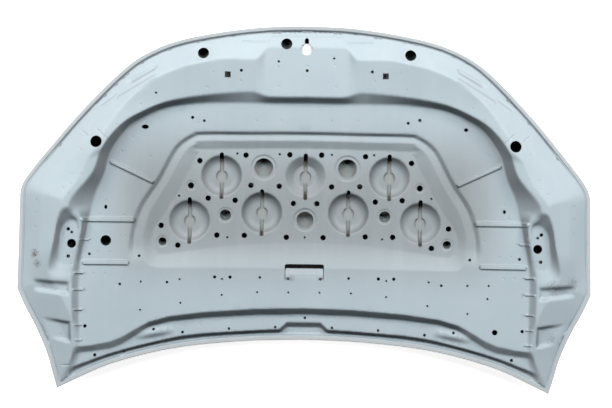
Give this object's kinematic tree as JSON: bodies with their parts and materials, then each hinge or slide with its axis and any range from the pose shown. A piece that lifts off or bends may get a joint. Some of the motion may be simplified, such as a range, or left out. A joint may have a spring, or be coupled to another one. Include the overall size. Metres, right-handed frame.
{
  "type": "car bonnet",
  "caption": "Pressed steel car bonnet, lying crown down: a hemmed outer skin with a stamped inner panel, flat hinge and latch pads, and a dished centre field.",
  "frame": {"origin": "middle of the bounding box, on the plane that the crown of the outer skin rests on", "axes": "+X runs across the car, the longest way; +Y points to the front edge; +Z points away from the crown, out of the inner panel"},
  "size_m": [1.476, 0.944, 0.104],
  "materials": {
    "skin_primer": "satin grey primer",
    "panel_primer": "satin cool grey primer",
    "plate_primer": "satin light grey primer",
    "zinc_plate": "zinc plated steel",
    "mastic": "matte bonding mastic"
  },
  "bodies": {
    "root": {"outer_skin": "skin_primer", "inner_panel": "panel_primer", "latch_reinforcement": "plate_primer", "striker_nut_left": "zinc_plate", "striker_nut_right": "zinc_plate", "striker_nut_centre": "zinc_plate", "hinge_reinforcement_left": "plate_primer", "hinge_nut_left_front": "zinc_plate", "hinge_nut_left_rear": "zinc_plate", "hinge_reinforcement_right": "plate_primer", "hinge_nut_right_front": "zinc_plate", "hinge_nut_right_rear": "zinc_plate", "mastic_dab_1_left": "mastic", "mastic_dab_1_right": "mastic", "mastic_dab_2_left": "mastic", "mastic_dab_2_right": "mastic", "mastic_dab_3_left": "mastic", "mastic_dab_3_right": "mastic", "mastic_dab_4_left": "mastic", "mastic_dab_4_right": "mastic", "mastic_dab_5_left": "mastic", "mastic_dab_5_right": "mastic", "mastic_dab_6_left": "mastic", "mastic_dab_6_right": "mastic", "mastic_dab_7_left": "mastic", "mastic_dab_7_right": "mastic"}
  },
  "joints": []
}
